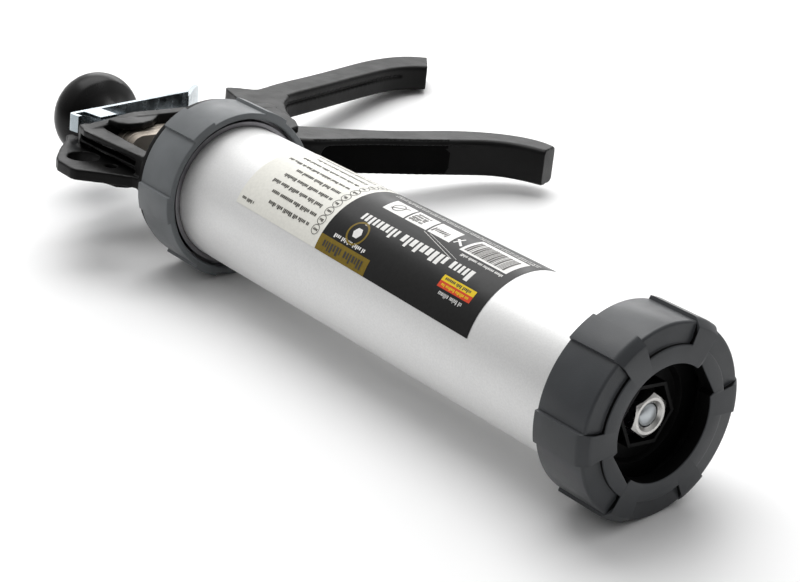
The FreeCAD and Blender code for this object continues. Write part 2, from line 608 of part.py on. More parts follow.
def release_plate():
    x, y = RELEASE_HINGE
    plate = block((x - RELEASE_THICK, x), (y, y + RELEASE_LENGTH), (-RELEASE_HALF, RELEASE_HALF))
    lip = block((x - RELEASE_THICK, x + RELEASE_LIP), (y - RELEASE_THICK, y), (-RELEASE_HALF, RELEASE_HALF))
    fork = block((x - 9, x + 9), (y - 9, y + FORK_DEPTH), (-FORK_HALF, FORK_HALF))
    tab = block((x - RELEASE_THICK, x), (0, TAB_LENGTH), (-RELEASE_HALF + 2, RELEASE_HALF - 2))
    tab = rounded(tab, 5.0, lambda edge: edge.Length < RELEASE_THICK + 0.01 and edge.CenterOfMass.y > 1)
    tab.translate(Vec(0, y + RELEASE_LENGTH - 0.3, 0))
    tab.rotate(Vec(x, y + RELEASE_LENGTH, 0), Z_AXIS, TAB_BEND)
    bend = Part.makeCylinder(RELEASE_THICK / 2, 2 * (RELEASE_HALF - 2),
                             Vec(x - RELEASE_THICK / 2, y + RELEASE_LENGTH, -RELEASE_HALF + 2), Z_AXIS)
    ears = []
    for side in (-1, 1):
        low, high = sorted((side * (RELEASE_HALF - EAR_THICK), side * RELEASE_HALF))
        ears.append(block((x - 1, x + EAR_REACH), (y + EAR_SPAN[0], y + EAR_SPAN[1]), (low, high)))
    fold = Part.makeCylinder(RELEASE_THICK, 2 * RELEASE_HALF, Vec(x, y, -RELEASE_HALF), Z_AXIS)
    corner = block((x - RELEASE_THICK, x), (y - RELEASE_THICK, y), (-RELEASE_HALF, RELEASE_HALF))
    lip = lip.cut(corner.cut(fold))
    whole = canted(fuse_all([plate, lip, tab, bend] + ears).cut(fork))
    hole = block((-330, -300), (-ROD_R - 0.9, ROD_R + 0.9), (-ROD_R - 0.5, ROD_R + 0.5))
    hole = rounded(hole, 4.4, lambda edge: edge.Length > 29.9)
    return whole.cut(hole)


def release_spring():
    return coil_x(RELEASE_SPRING_REAR, WALL_REAR - 3.1, RELEASE_SPRING_R, RELEASE_SPRING_WIRE, 4)


# ---- assembly ----
def all_nodes():
    nodes = {
        "barrel_tube": barrel_tube(),
        "front_thread_collar": front_thread_collar(),
        "cap_seal": cap_seal(),
        "front_cap": front_cap(),
        "rear_ring_nut": rear_ring_nut(),
        "barrel_ferrule": barrel_ferrule(),
        "barrel_seal": barrel_seal(),
        "barrel_label": barrel_label(),
        "body_casting": body_casting(),
        "front_guide_bush": front_guide_bush(),
        "rear_guide_bush": rear_guide_bush(),
        "spring_seat": spring_seat(),
        "return_spring": return_spring(),
        "trigger": trigger(),
        "trigger_pin": trigger_pin(),
        "pin_clip": pin_clip(),
        "trigger_washers": trigger_washers(),
        "push_rod": push_rod(),
        "piston": piston(),
        "piston_seal": piston_seal(),
        "piston_washer": piston_washer(),
        "piston_front_nut": piston_front_nut(),
        "piston_rear_nut": piston_rear_nut(),
        "knob": knob(),
        "knob_insert": knob_insert(),
        "release_plate": release_plate(),
        "release_spring": release_spring(),
    }
    for number in range(DRIVE_COUNT):
        nodes["drive_plate_%d" % (number + 1)] = drive_plate(number)
    return nodes


def lay_down(nodes):
    """Roll the gun onto its side and put the origin at the middle of its box's bottom."""
    rolled = {name: turn_about_x(shape, -ROLL) for name, shape in nodes.items()}
    box = FreeCAD.BoundBox()
    for shape in rolled.values():
        box.add(shape.optimalBoundingBox(False))
    shift = Vec(-(box.XMin + box.XMax) / 2, -(box.YMin + box.YMax) / 2, -box.ZMin)
    for shape in rolled.values():
        shape.translate(shift)
    return rolled, shift, box


def main():
    os.makedirs("parts", exist_ok=True)
    placed, shift, box = lay_down(all_nodes())
    print("box", round(box.XLength, 2), round(box.YLength, 2), round(box.ZLength, 2))
    print("barrel axis at", [round(value, 3) for value in shift])
    for name, shape in placed.items():
        print(name, "solids", len(shape.Solids), "valid", shape.isValid(), "volume", round(shape.Volume, 1))
        shape.exportStep("parts/%s.step" % name)


main()
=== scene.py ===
import json
import math
import random

import bmesh
import bpy
from mathutils import Matrix, Vector


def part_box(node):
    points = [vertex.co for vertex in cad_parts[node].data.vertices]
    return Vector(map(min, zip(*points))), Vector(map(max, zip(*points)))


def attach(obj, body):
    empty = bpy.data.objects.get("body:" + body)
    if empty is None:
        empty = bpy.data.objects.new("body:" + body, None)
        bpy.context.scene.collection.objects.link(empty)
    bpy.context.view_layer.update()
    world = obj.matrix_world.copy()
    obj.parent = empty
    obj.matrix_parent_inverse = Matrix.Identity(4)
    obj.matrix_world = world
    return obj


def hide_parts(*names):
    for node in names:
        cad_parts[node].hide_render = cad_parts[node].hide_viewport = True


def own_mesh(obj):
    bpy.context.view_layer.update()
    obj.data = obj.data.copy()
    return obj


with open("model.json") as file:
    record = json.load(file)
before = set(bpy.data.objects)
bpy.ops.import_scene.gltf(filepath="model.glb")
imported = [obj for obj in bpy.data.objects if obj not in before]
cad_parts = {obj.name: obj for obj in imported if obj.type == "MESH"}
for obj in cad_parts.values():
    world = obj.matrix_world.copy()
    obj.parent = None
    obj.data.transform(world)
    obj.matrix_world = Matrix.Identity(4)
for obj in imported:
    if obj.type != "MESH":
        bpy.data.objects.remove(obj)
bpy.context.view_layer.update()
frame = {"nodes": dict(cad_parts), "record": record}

MM = 0.001
NODES = frame["nodes"]
BODY_OF = {node: body for body, nodes in frame["record"]["behaviour"]["bodies"].items() for node in nodes}

# ---- places read from the frame ----
tube_low, tube_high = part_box("barrel_tube")
AXIS_Y = (tube_low.y + tube_high.y) / 2
AXIS_Z = (tube_low.z + tube_high.z) / 2
STAR_RISE = 1.4                                      # how far the cap's star stands out, mm
FRONT_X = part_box("front_cap")[1].x - STAR_RISE * MM  # the front cap's outer edge
ROLL = math.radians(7.5)                             # how far the gun leans about its barrel axis

# ---- the gun's own frame: millimetres, x forward from the front cap's edge, y down the handle, z left ----
GUN = (Matrix.Translation((FRONT_X, AXIS_Y, AXIS_Z)) @ Matrix.Rotation(-ROLL, 4, "X")
       @ Matrix.Scale(MM, 4))

TUBE_R = 26.55
TUBE_BORE_R = 25.05
TUBE_REAR = -242.0
TUBE_FRONT = -5.0
RING_R = 33.5
RING_BODY_R = 32.3
TOOTH_COUNT = 6
TOOTH_ANGLE = 18.5
TOOTH_START = 5.3


# ---- camera ----
CAMERA_AZIMUTH = math.radians(52.18)                 # from the side away from the handles, towards the front
CAMERA_ELEVATION = math.radians(25.25)
CAMERA_LENS = 85.05                                  # mm, on a sensor 36 mm wide
CAMERA_PLACE = Vector((342.2, -364.5, 276.3))        # mm, from the barrel axis at the front cap's edge


def make_camera():
    azimuth = CAMERA_AZIMUTH
    elevation = CAMERA_ELEVATION
    back = Vector((math.sin(azimuth) * math.cos(elevation), -math.cos(azimuth) * math.cos(elevation),
                   math.sin(elevation)))
    right = Vector((math.cos(azimuth), math.sin(azimuth), 0.0))
    up = back.cross(right)
    camera = bpy.data.objects.new("camera", bpy.data.cameras.new("camera"))
    camera.data.lens = CAMERA_LENS
    camera.data.sensor_width = 36.0
    camera.data.clip_start = 0.01
    camera.data.clip_end = 50.0
    turn = Matrix((right, up, back)).transposed().to_4x4()
    place = Vector((FRONT_X, AXIS_Y, AXIS_Z)) + CAMERA_PLACE * MM
    camera.matrix_world = Matrix.Translation(place) @ turn
    bpy.context.scene.collection.objects.link(camera)
    bpy.context.scene.camera = camera


# ---- materials ----
class Paint:
    """A material with small helpers for its node tree."""

    def __init__(self, name, colour, roughness, metallic=0.0):
        self.material = bpy.data.materials.new(name)
        self.material.use_nodes = True
        self.tree = self.material.node_tree
        self.shader = self.tree.nodes["Principled BSDF"]
        self.shader.inputs["Base Color"].default_value = (*colour, 1.0)
        self.shader.inputs["Roughness"].default_value = roughness
        self.shader.inputs["Metallic"].default_value = metallic
        self.colour = colour
        self.roughness = roughness

    def node(self, kind, **values):
        node = self.tree.nodes.new(kind)
        for key, value in values.items():
            node.inputs[key.replace("_", " ")].default_value = value
        return node

    def link(self, source, target):
        self.tree.links.new(source, target)

    def noise(self, scale, detail=3.0, stretch=(1.0, 1.0, 1.0)):
        """Noise in object coordinates; scale is the number of features in a metre."""
        coords = self.tree.nodes.new("ShaderNodeTexCoord")
        mapping = self.node("ShaderNodeMapping", Scale=stretch)
        texture = self.node("ShaderNodeTexNoise", Scale=scale, Detail=detail)
        self.link(coords.outputs["Object"], mapping.inputs["Vector"])
        self.link(mapping.outputs["Vector"], texture.inputs["Vector"])
        return texture.outputs["Fac"]

    def spread(self, value, low, high):
        node = self.node("ShaderNodeMapRange", From_Min=0.3, From_Max=0.7, To_Min=low, To_Max=high)
        self.link(value, node.inputs["Value"])
        return node.outputs["Result"]

    def vary_colour(self, value, darker, lighter):
        """The base colour goes from darker to lighter times itself with the value."""
        ramp = self.tree.nodes.new("ShaderNodeValToRGB")
        ramp.color_ramp.elements[0].position = 0.3
        ramp.color_ramp.elements[1].position = 0.7
        ramp.color_ramp.elements[0].color = (*[c * darker for c in self.colour], 1)
        ramp.color_ramp.elements[1].color = (*[min(1, c * lighter) for c in self.colour], 1)
        self.link(value, ramp.inputs["Fac"])
        self.link(ramp.outputs["Color"], self.shader.inputs["Base Color"])

    def vary_roughness(self, value, amount):
        self.link(self.spread(value, self.roughness - amount, self.roughness + amount),
                  self.shader.inputs["Roughness"])

    def bump(self, values, strength, distance):
        """Bumps from one or more height values, stacked."""
        normal = None
        for value, share in values:
            node = self.node("ShaderNodeBump", Strength=strength * share, Distance=distance)
            self.link(value, node.inputs["Height"])
            if normal:
                self.link(normal, node.inputs["Normal"])
            normal = node.outputs["Normal"]
        self.link(normal, self.shader.inputs["Normal"])


def moulded_plastic(name, colour, roughness, grain=1.0, gloss=0.32):
    """Injection-moulded plastic: spark-eroded grain, faint flow clouds and handling shine."""
    paint = Paint(name, colour, roughness)
    paint.vary_colour(paint.noise(55, 4), 0.86, 1.16)
    paint.vary_roughness(paint.noise(140, 5), 0.06)
    paint.bump([(paint.noise(2600, 2), 0.5 * grain), (paint.noise(700, 3), 0.25 * grain)], 0.5, 0.00012)
    paint.shader.inputs["Specular IOR Level"].default_value = gloss
    return paint.material


def powder_coat(name, colour, roughness, gloss=0.13):
    """Satin black powder coat over a casting: orange peel and slightly polished patches."""
    paint = Paint(name, colour, roughness)
    paint.vary_colour(paint.noise(45, 4), 0.7, 1.5)
    paint.vary_roughness(paint.noise(90, 5), 0.07)
    paint.bump([(paint.noise(520, 2), 0.6), (paint.noise(2300, 2), 0.3)], 0.45, 0.00016)
    paint.shader.inputs["Specular IOR Level"].default_value = gloss
    return paint.material


def anodised(name, colour, roughness):
    """Extruded aluminium, bead-blasted and anodised: fine grain and faint lengthwise die lines."""
    paint = Paint(name, colour, roughness, 0.45)
    paint.vary_colour(paint.noise(1500, 3), 0.955, 1.035)
    paint.vary_roughness(paint.noise(60, 4), 0.035)
    paint.bump([(paint.noise(2600, 3), 0.8), (paint.noise(900, 3, (0.01, 1, 1)), 0.12)], 0.3, 0.0001)
    return paint.material


def plated(name, colour, roughness, cloud=0.12, streaks=(1, 1, 0.15)):
    """Zinc-plated or turned metal: cloudy passivation and fine streaks."""
    paint = Paint(name, colour, roughness, 1.0)
    paint.vary_colour(paint.noise(150, 4), 1 - cloud, 1 + cloud)
    paint.vary_roughness(paint.noise(260, 4), 0.07)
    paint.bump([(paint.noise(1900, 3, streaks), 0.5)], 0.3, 0.00008)
    return paint.material


def rubber(name, colour):
    paint = Paint(name, colour, 0.72)
    paint.vary_colour(paint.noise(300, 3), 0.8, 1.3)
    paint.bump([(paint.noise(1800, 3), 0.6)], 0.5, 0.0001)
    return paint.material


def nylon(name, colour):
    paint = Paint(name, colour, 0.42)
    paint.vary_colour(paint.noise(120, 3), 0.92, 1.06)
    paint.bump([(paint.noise(1500, 2), 0.4)], 0.3, 0.00008)
    paint.shader.inputs["Subsurface Weight"].default_value = 0.15
    paint.shader.inputs["Subsurface Radius"].default_value = (0.002, 0.0016, 0.001)
    paint.shader.inputs["Subsurface Scale"].default_value = 0.5
    return paint.material


def printed_film(name, colour, roughness=0.38, ink=0.04):
    """Printed label film: faint press mottle and a smooth laminate."""
    paint = Paint(name, colour, roughness)
    paint.vary_colour(paint.noise(900, 3), 1 - ink, 1 + ink)
    paint.vary_roughness(paint.noise(200, 3), 0.04)
    paint.bump([(paint.noise(1200, 2), 0.2)], 0.15, 0.00004)
    paint.shader.inputs["Specular IOR Level"].default_value = 0.22
    return paint.material


def make_materials():
    return {
        "tube": anodised("tube_anodised", (0.80, 0.80, 0.795), 0.46),
        # painted shade: the ferrule's dark grey stands for the shade under the rear ring's lip
        "ferrule": plated("ferrule_turned_shaded", (0.20, 0.195, 0.205), 0.38),
        # the front cap and rear ring are one grey plastic; the front cap's darker colour is painted shade, the
        # rear ring's lighter one painted light
        "front_cap": moulded_plastic("front_cap_plastic_shaded", (0.043, 0.046, 0.05), 0.36),
        "rear_ring": moulded_plastic("rear_ring_plastic_lit", (0.125, 0.134, 0.14), 0.42),
        "collar": moulded_plastic("collar_plastic", (0.02, 0.02, 0.022), 0.45),
        "piston": moulded_plastic("piston_plastic_and_cap_shade", (0.003, 0.003, 0.003), 0.5, 1.0, 0.12),
        "knob": moulded_plastic("knob_plastic", (0.0022, 0.002, 0.002), 0.3, 0.3, 0.18),
        # painted shade: dark grey on the tube's bore, which is bare metal
        "bore": plated("tube_bore_painted_shade", (0.05, 0.05, 0.05), 0.5),
        # painted shade: near-black, dull coat for the trigger's hollow
        "recess_shade": powder_coat("recess_painted_shade", (0.002, 0.002, 0.002), 0.6, 0.03),
        "casting": powder_coat("casting_coat", (0.0036, 0.0035, 0.0034), 0.4),
        "trigger": powder_coat("trigger_coat", (0.0034, 0.0034, 0.0034), 0.34),
        "zinc": plated("zinc_blue", (0.38, 0.43, 0.46), 0.24),
        "nut": plated("zinc_nut", (0.58, 0.57, 0.55), 0.3),
        "zinc_dull": plated("zinc_dull", (0.50, 0.53, 0.55), 0.36),
        "wire": plated("spring_wire", (0.35, 0.36, 0.38), 0.3),
        "beige": plated("zinc_warm", (0.36, 0.32, 0.275), 0.55, 0.08),
        "phosphate": plated("phosphate_steel", (0.10, 0.10, 0.105), 0.45),
        "rubber": rubber("seal_rubber", (0.01, 0.01, 0.0105)),
        "nylon": nylon("nylon_natural", (0.55, 0.50, 0.42)),
        "label_white": printed_film("label_white", (0.80, 0.79, 0.73)),
        "label_black": printed_film("label_black", (0.008, 0.0078, 0.0078), 0.36, 0.2),
        "ink_black": printed_film("ink_black", (0.055, 0.05, 0.042), 0.4, 0.2),
        "ink_white": printed_film("ink_white", (0.80, 0.79, 0.77)),
        "ink_bronze": printed_film("ink_bronze", (0.20, 0.135, 0.012), 0.34, 0.12),
        "ink_red": printed_film("ink_red", (0.66, 0.06, 0.02)),
        "ink_yellow": printed_film("ink_yellow", (0.78, 0.56, 0.012)),
    }


# ---- mesh helpers ----
def add_piece(name, mesh, body, nodes, material):
    piece = bpy.data.objects.new(name, mesh)
    bpy.context.scene.collection.objects.link(piece)
    mesh.materials.clear()
    mesh.materials.append(material)
    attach(piece, body)
    if nodes:
        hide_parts(*nodes)
    return piece


def mesh_from(name, points, faces, merge=1e-4):
    """A mesh with outward normals; points are in the gun's frame in millimetres."""
    mesh = bpy.data.meshes.new(name)
    mesh.from_pydata([tuple(p) for p in points], [], faces)
    bm = bmesh.new()
    bm.from_mesh(mesh)
    bmesh.ops.remove_doubles(bm, verts=bm.verts, dist=merge)
    bmesh.ops.recalc_face_normals(bm, faces=bm.faces)
    bm.to_mesh(mesh)
    bm.free()
    mesh.transform(GUN)
    mesh.shade_smooth()
    return mesh


def mark_sharp(mesh, degrees=38.0):
    """Keep creases crisp under smooth shading."""
    bm = bmesh.new()
    bm.from_mesh(mesh)
    for face in bm.faces:
        face.smooth = True
    for edge in bm.edges:
        edge.smooth = len(edge.link_faces) == 2 and edge.calc_face_angle(0.0) < math.radians(degrees)
    bm.to_mesh(mesh)
    bm.free()


SIDE_SHARE = 0.45                                    # the most of a side that one rounded corner may take


def soft_each(outline, radii, steps=3):
    """Round each corner of a closed outline of (x, r) points with a short curve of its own radius."""
    rounded = []
    count = len(outline)
    for index, point in enumerate(outline):
        here = Vector(point)
        before = Vector(outline[index - 1])
        after = Vector(outline[(index + 1) % count])
        reach = min(radii[index], (before - here).length * SIDE_SHARE, (after - here).length * SIDE_SHARE)
        start = here + (before - here).normalized() * reach
        end = here + (after - here).normalized() * reach
        for step in range(steps + 1):
            t = step / steps
            rounded.append(tuple(start * (1 - t) ** 2 + here * (2 * t * (1 - t)) + end * t ** 2))
    return rounded


def soft_corners(outline, radius):
    """As soft_each, with one radius for all corners."""
    return soft_each(outline, [radius] * len(outline))


def swept_rings(name, rings):
    """Quads between neighbouring rings of points; the last ring joins the first."""
    points = [p for ring in rings for p in ring]
    size = len(rings[0])
    faces = []
    for i in range(len(rings)):
        j = (i + 1) % len(rings)
        for k in range(size):
            m = (k + 1) % size
            faces.append((i * size + k, i * size + m, j * size + m, j * size + k))
    return mesh_from(name, points, faces)


def lathe(name, outline, angles=None, segments=144):
    """Turn a closed outline of (x, r) about the barrel axis. The outline may depend on the angle."""
    if angles is None:
        angles = [360.0 * k / segments for k in range(segments)]
    rings = []
    for angle in angles:
        here = outline(angle) if callable(outline) else outline
        c, s = math.cos(math.radians(angle)), math.sin(math.radians(angle))
        rings.append([(x, r * c, r * s) for x, r in here])
    return swept_rings(name, rings)


def turned(node, outline, radius, material, segments=144):
    mesh = lathe(node + "_turned", soft_corners(outline, radius), segments=segments)
    mark_sharp(mesh, 50)
    return add_piece(node + "_turned", mesh, BODY_OF[node], [node], material)


def paint_shade_faces(piece, material, chosen):
    """Give the faces that the test picks a second material, used here for painted shade; it gets place and normal
    in the gun's frame.
    """
    piece.data.materials.append(material)
    to_gun = GUN.inverted()
    turn = to_gun.to_3x3()
    for face in piece.data.polygons:
        if chosen(to_gun @ face.center, (turn @ face.normal).normalized()):
            face.material_index = 1


def refined(node, material, bevel=0.3, segments=2, angle=34.0):
    """The CAD part's own shape with its edges rounded, as its tooling would leave them."""
    mesh = NODES[node].data.copy()
    mesh.name = node + "_finished"
    bm = bmesh.new()
    bm.from_mesh(mesh)
    bmesh.ops.remove_doubles(bm, verts=bm.verts, dist=1e-6)
    bmesh.ops.dissolve_limit(bm, angle_limit=math.radians(0.6), verts=bm.verts, edges=bm.edges)
    for face in bm.faces:
        face.smooth = True
    bm.to_mesh(mesh)
    bm.free()
    piece = add_piece(node + "_finished", mesh, BODY_OF[node], [node], material)
    edge = piece.modifiers.new("edges", "BEVEL")
    edge.width = bevel * MM
    edge.segments = segments
    edge.limit_method = "ANGLE"
    edge.angle_limit = math.radians(angle)
    edge.use_clamp_overlap = True
    piece.modifiers.new("normals", "WEIGHTED_NORMAL")
    return piece


def cast(node, material, voxel=0.42, passes=9, keep=0.3):
    """The CAD part's shape with cast fillets: remeshed finely, then eased."""
    mesh = NODES[node].data.copy()
    mesh.name = node + "_cast"
    piece = add_piece(node + "_cast", mesh, BODY_OF[node], [node], material)
    remesh = piece.modifiers.new("remesh", "REMESH")
    remesh.mode = "VOXEL"
    remesh.voxel_size = voxel * MM
    ease = piece.modifiers.new("ease", "SMOOTH")
    ease.factor = 0.5
    ease.iterations = passes
    thin = piece.modifiers.new("thin", "DECIMATE")
    thin.ratio = keep
    graph = bpy.context.evaluated_depsgraph_get()
    finished = bpy.data.meshes.new_from_object(piece.evaluated_get(graph))
    piece.modifiers.clear()
    piece.data = finished
    finished.materials.clear()
    finished.materials.append(material)
    finished.shade_smooth()
    return piece


RECESS_SPAN = (55, 112)                              # the part of the trigger's hollow given painted shade, along y
RECESS_DEPTH = 1.1                                   # a face this far behind the front edge is in the hollow
RECESS_STEP = 1.5                                    # length of the slices in which the front edge is found


def paint_recess_shade(trigger, material):
    """Painted shade: a blacker material in the trigger's hollow, which isn't dark enough by its shape."""
    to_gun = GUN.inverted()
    front = {}
    for vertex in trigger.data.vertices:
        place = to_gun @ vertex.co
        key = int(place.y // RECESS_STEP)
        front[key] = max(front.get(key, -1000.0), place.x)

    def in_recess(place, normal):
        if not RECESS_SPAN[0] < place.y < RECESS_SPAN[1]:
            return False
        edge = front[int(place.y // RECESS_STEP)]
        return place.x < edge - RECESS_DEPTH and normal.x > 0.2

    paint_shade_faces(trigger, material, in_recess)


WIRE_SIDES = 12                                      # flats round a spring's wire
WIRE_STEPS = 36                                      # rings of points in one turn of a spring
DEAD_TURNS = 0.9                                     # closed turns at each end of a spring


def wire_spring(node, x_rear, x_front, radius, wire, turns, material):
    """A round-wire compression spring with closed ends, on its part's body."""
    rings = []
    total = turns + 2 * DEAD_TURNS
    length = x_front - x_rear - 2 * wire
    count = int(total * WIRE_STEPS)
    dead = 2 * wire * DEAD_TURNS
    for step in range(count + 1):
        t = total * step / count
        if t < DEAD_TURNS:
            x = dead * t / DEAD_TURNS
        elif t > total - DEAD_TURNS:
            x = length - dead * (total - t) / DEAD_TURNS
        else:
            x = dead + (length - 2 * dead) * (t - DEAD_TURNS) / turns
        angle = 2 * math.pi * t
        out = Vector((0, math.cos(angle), math.sin(angle)))
        middle = out * radius + Vector((x_rear + wire + x, 0, 0))
        ring = []
        for side in range(WIRE_SIDES):
            turn = 2 * math.pi * side / WIRE_SIDES
            ring.append(middle + out * (wire * math.cos(turn)) + Vector((wire * math.sin(turn), 0, 0)))
        rings.append(ring)
    points = [p for ring in rings for p in ring]
    faces = []
    for i in range(len(rings) - 1):
        for k in range(WIRE_SIDES):
            m = (k + 1) % WIRE_SIDES
            here, there = i * WIRE_SIDES, (i + 1) * WIRE_SIDES
            faces.append((here + k, here + m, there + m, there + k))
    faces.append(tuple(range(WIRE_SIDES)))
    faces.append(tuple(range(len(points) - WIRE_SIDES, len(points))))
    mesh = mesh_from(node + "_wire", points, faces, merge=1e-6)
    piece = add_piece(node + "_wire", mesh, BODY_OF[node], [node], material)
    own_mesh(piece)


# ---- toothed caps ----
FLANK_RAMP = 0.22                                    # degrees on each side of a tooth's edge that its flank takes
FLANK_OFFSETS = (0.08, 0.22, 0.4, 1.0)               # where the mesh has points beside a flank, degrees


def tooth_share(angle):
    """1 on a tooth, 0 between teeth, with a short ramp at each flank."""
    pitch = 360.0 / TOOTH_COUNT
    away = abs((angle - TOOTH_START + pitch / 2) % pitch - pitch / 2)
    t = (away - (TOOTH_ANGLE / 2 - FLANK_RAMP)) / (2 * FLANK_RAMP)
    t = min(1.0, max(0.0, t))
    return 1 - t * t * (3 - 2 * t)


def cap_angles(extra=()):
    """Angles round a cap, closer together at the flanks of its teeth."""
    angles = {round(2.5 * k, 3) for k in range(144)}
    for k in range(TOOTH_COUNT):
        for side in (-1, 1):
            edge = TOOTH_START + 360.0 / TOOTH_COUNT * k + side * TOOTH_ANGLE / 2
            near = {a for a in angles if abs((a - edge + 180) % 360 - 180) < 1.3}
            angles -= near
            for offset in FLANK_OFFSETS:
                angles |= {round((edge - offset) % 360, 3), round((edge + offset) % 360, 3)}
    angles |= {round(a % 360, 3) for a in extra}
    return sorted(angles)


def mixed(body, tooth, share):
    return [(bx + (tx - bx) * share, br + (tr - br) * share) for (bx, br), (tx, tr) in zip(body, tooth)]


CAP_DEPTH = 20.4
CAP_BORE_R = 30.7
CAP_WALL = 3.8
CAP_POCKET_R = 25.4
NOZZLE_R = 19.4
NOTCH_HALF_SPAN = 20.0
NOTCH_HALF_WIDTH = 6.65
NOTCH_TURN = 36.3


def opening_radius(angle):
    """The front opening: a circle with two square notches."""
    phi = abs((angle - NOTCH_TURN + 90) % 180 - 90)
    phi = math.radians(max(phi, 0.001))
    slot = min(NOTCH_HALF_SPAN / math.cos(phi), NOTCH_HALF_WIDTH / math.sin(phi))
    return max(NOZZLE_R, slot)


def front_cap(material, cap_throat_shade):
    """The cap. Painted shade: a blacker second material on its inside faces, so that the opening reads black."""
    rear = -CAP_DEPTH
    bore = CAP_BORE_R
    wall = -CAP_WALL

    def outline(angle):
        hole = opening_radius(angle)
        body = [(rear, bore), (rear, RING_BODY_R), (0.0, RING_BODY_R), (0.0, CAP_POCKET_R),
                (STAR_RISE, CAP_POCKET_R), (STAR_RISE, hole), (wall, hole), (wall, bore)]
        tooth = [(rear, bore), (rear, RING_R), (-1.2, RING_R), (STAR_RISE - 0.1, 31.0),
                 (STAR_RISE, 29.8), (STAR_RISE, hole), (wall, hole), (wall, bore)]
        radii = [0.3, 0.5, 1.0, 0.3, 0.4, 0.35, 0.3, 0.6]
        return mixed(soft_each(body, radii), soft_each(tooth, radii), tooth_share(angle))

    corner = math.degrees(math.asin(NOTCH_HALF_WIDTH / NOZZLE_R))
    inner = math.degrees(math.atan(NOTCH_HALF_WIDTH / NOTCH_HALF_SPAN))
    extra = []
    for half_turn in (0, 180):
        for side in (-1, 1):
            for at in (corner + 0.4, corner, corner - 0.4, inner + 0.4, inner, inner - 0.4):
                extra.append(NOTCH_TURN + half_turn + side * at)
    mesh = lathe("front_cap_moulded", outline, cap_angles(extra))
    mark_sharp(mesh, 40)
    piece = add_piece("front_cap_moulded", mesh, BODY_OF["front_cap"], ["front_cap"], material)

    def in_cap_throat_shade(place, normal):
        reach = math.hypot(place.y, place.z)
        return reach < bore + 0.2 and (place.x < wall + 0.1 or abs(normal.x) < 0.5 and place.x < 1.0)

    paint_shade_faces(piece, cap_throat_shade, in_cap_throat_shade)


RING_FRONT = -226.6
RING_DEPTH = 21.2
RING_LIP = 4.4
RING_BORE_R = 30.9
RING_LIP_R = 29.8


def rear_ring(material):
    front = RING_FRONT
    rear = front - RING_DEPTH
    lip = front - RING_LIP

    def outline(angle):
        shapes = []
        for outer in (RING_BODY_R, RING_R):
            shape = [(rear, RING_BORE_R), (rear, outer), (front, outer), (front, RING_LIP_R + 0.5),
                     (front - 0.5, RING_LIP_R), (lip, RING_LIP_R), (lip, RING_BORE_R)]
            shapes.append(soft_each(shape, [0.2, 0.5, 0.5, 0.2, 0.2, 0.2, 0.2]))
        return mixed(shapes[0], shapes[1], tooth_share(angle))

    mesh = lathe("rear_ring_moulded", outline, cap_angles())
    mark_sharp(mesh, 40)
    add_piece("rear_ring_moulded", mesh, BODY_OF["rear_ring_nut"], ["rear_ring_nut"], material)


# ---- label ----
LABEL_R = TUBE_R + 0.14
PRINT_LIFT = 0.03
LABEL_REAR = -194.5
LABEL_SPLIT = -145.0
LABEL_FRONT = -62.0
LABEL_LOW = 62.0
LABEL_HIGH = 157.0
LABEL_SKEW = 0.049                                   # degrees that the label climbs in each millimetre
DEGREE = LABEL_R * math.pi / 180                     # length of one degree round the label, mm


class Prints:
    """Flat shapes wrapped on the tube, gathered in one mesh for each ink."""

    def __init__(self, name, layer):
        self.name = name
        self.radius = LABEL_R + PRINT_LIFT * layer
        self.points = []
        self.faces = []

    def quad(self, corners, pieces=1):
        """A four-sided shape given by its (x, angle) corners, split along its second side."""
        (ax, aa), (bx, ba), (cx, ca), (dx, da) = corners
        start = len(self.points)
        for k in range(pieces + 1):
            t = k / pieces
            left = (ax + (dx - ax) * t, aa + (da - aa) * t)
            right = (bx + (cx - bx) * t, ba + (ca - ba) * t)
            for x, angle in (left, right):
                turn = math.radians(angle + LABEL_SKEW * (x - LABEL_REAR))
                self.points.append((x, self.radius * math.cos(turn), self.radius * math.sin(turn)))
        for k in range(pieces):
            i = start + 2 * k
            self.faces.append((i, i + 1, i + 3, i + 2))

    def bar(self, x0, x1, a0, a1, slant=0.0):
        pieces = max(1, int(abs(a1 - a0) / 2.0))
        self.quad([(x0, a0), (x1, a0), (x1 + slant, a1), (x0 + slant, a1)], pieces)

    def stroke(self, x0, a0, x1, a1, width):
        """A thin straight line from one point to the other; width in millimetres."""
        along = Vector((x1 - x0, (a1 - a0) * DEGREE)).normalized()
        dx, da = -along.y * width / 2, along.x * width / 2 / DEGREE
        self.quad([(x0 - dx, a0 - da), (x0 + dx, a0 + da), (x1 + dx, a1 + da), (x1 - dx, a1 - da)], 6)

    def disc(self, x, angle, radius, hole=0.0, sides=24):
        """A dot or a ring; radius in millimetres."""
        for k in range(sides):
            a, b = 2 * math.pi * k / sides, 2 * math.pi * (k + 1) / sides
            corners = []
            for r, t in ((hole, a), (radius, a), (radius, b), (hole, b)):
                corners.append((x + r * math.cos(t), angle + r * math.sin(t) / DEGREE))
            self.quad(corners)

    def letters(self, chance, x_start, x_end, angle, height, weight=0.62):
        """A greeked line of print: blocks of letter size, in words, some with a taller stem."""
        x = x_start
        left_in_word = chance.randint(3, 9)
        while x < x_end - height * 0.4:
            width = height * weight * chance.uniform(0.6, 1.1)
            rise = height * 0.42 if chance.random() < 0.28 else 0.0
            low, high = angle - height / 2 / DEGREE, angle + (height / 2 + rise) / DEGREE
            self.bar(x, min(x + width, x_end), low, high)
            x += width + height * 0.26
            left_in_word -= 1
            if left_in_word == 0:
                x += height * 0.55
                left_in_word = chance.randint(3, 9)

    def build(self, material, nodes=()):
        mesh = mesh_from(self.name, self.points, self.faces, merge=1e-5)
        outward = GUN.to_3x3() @ Vector((0, math.cos(math.radians(110)), math.sin(math.radians(110))))
        if sum(p.normal.dot(outward) for p in mesh.polygons) < 0:
            mesh.flip_normals()
        return add_piece(self.name, mesh, "body", list(nodes), material)


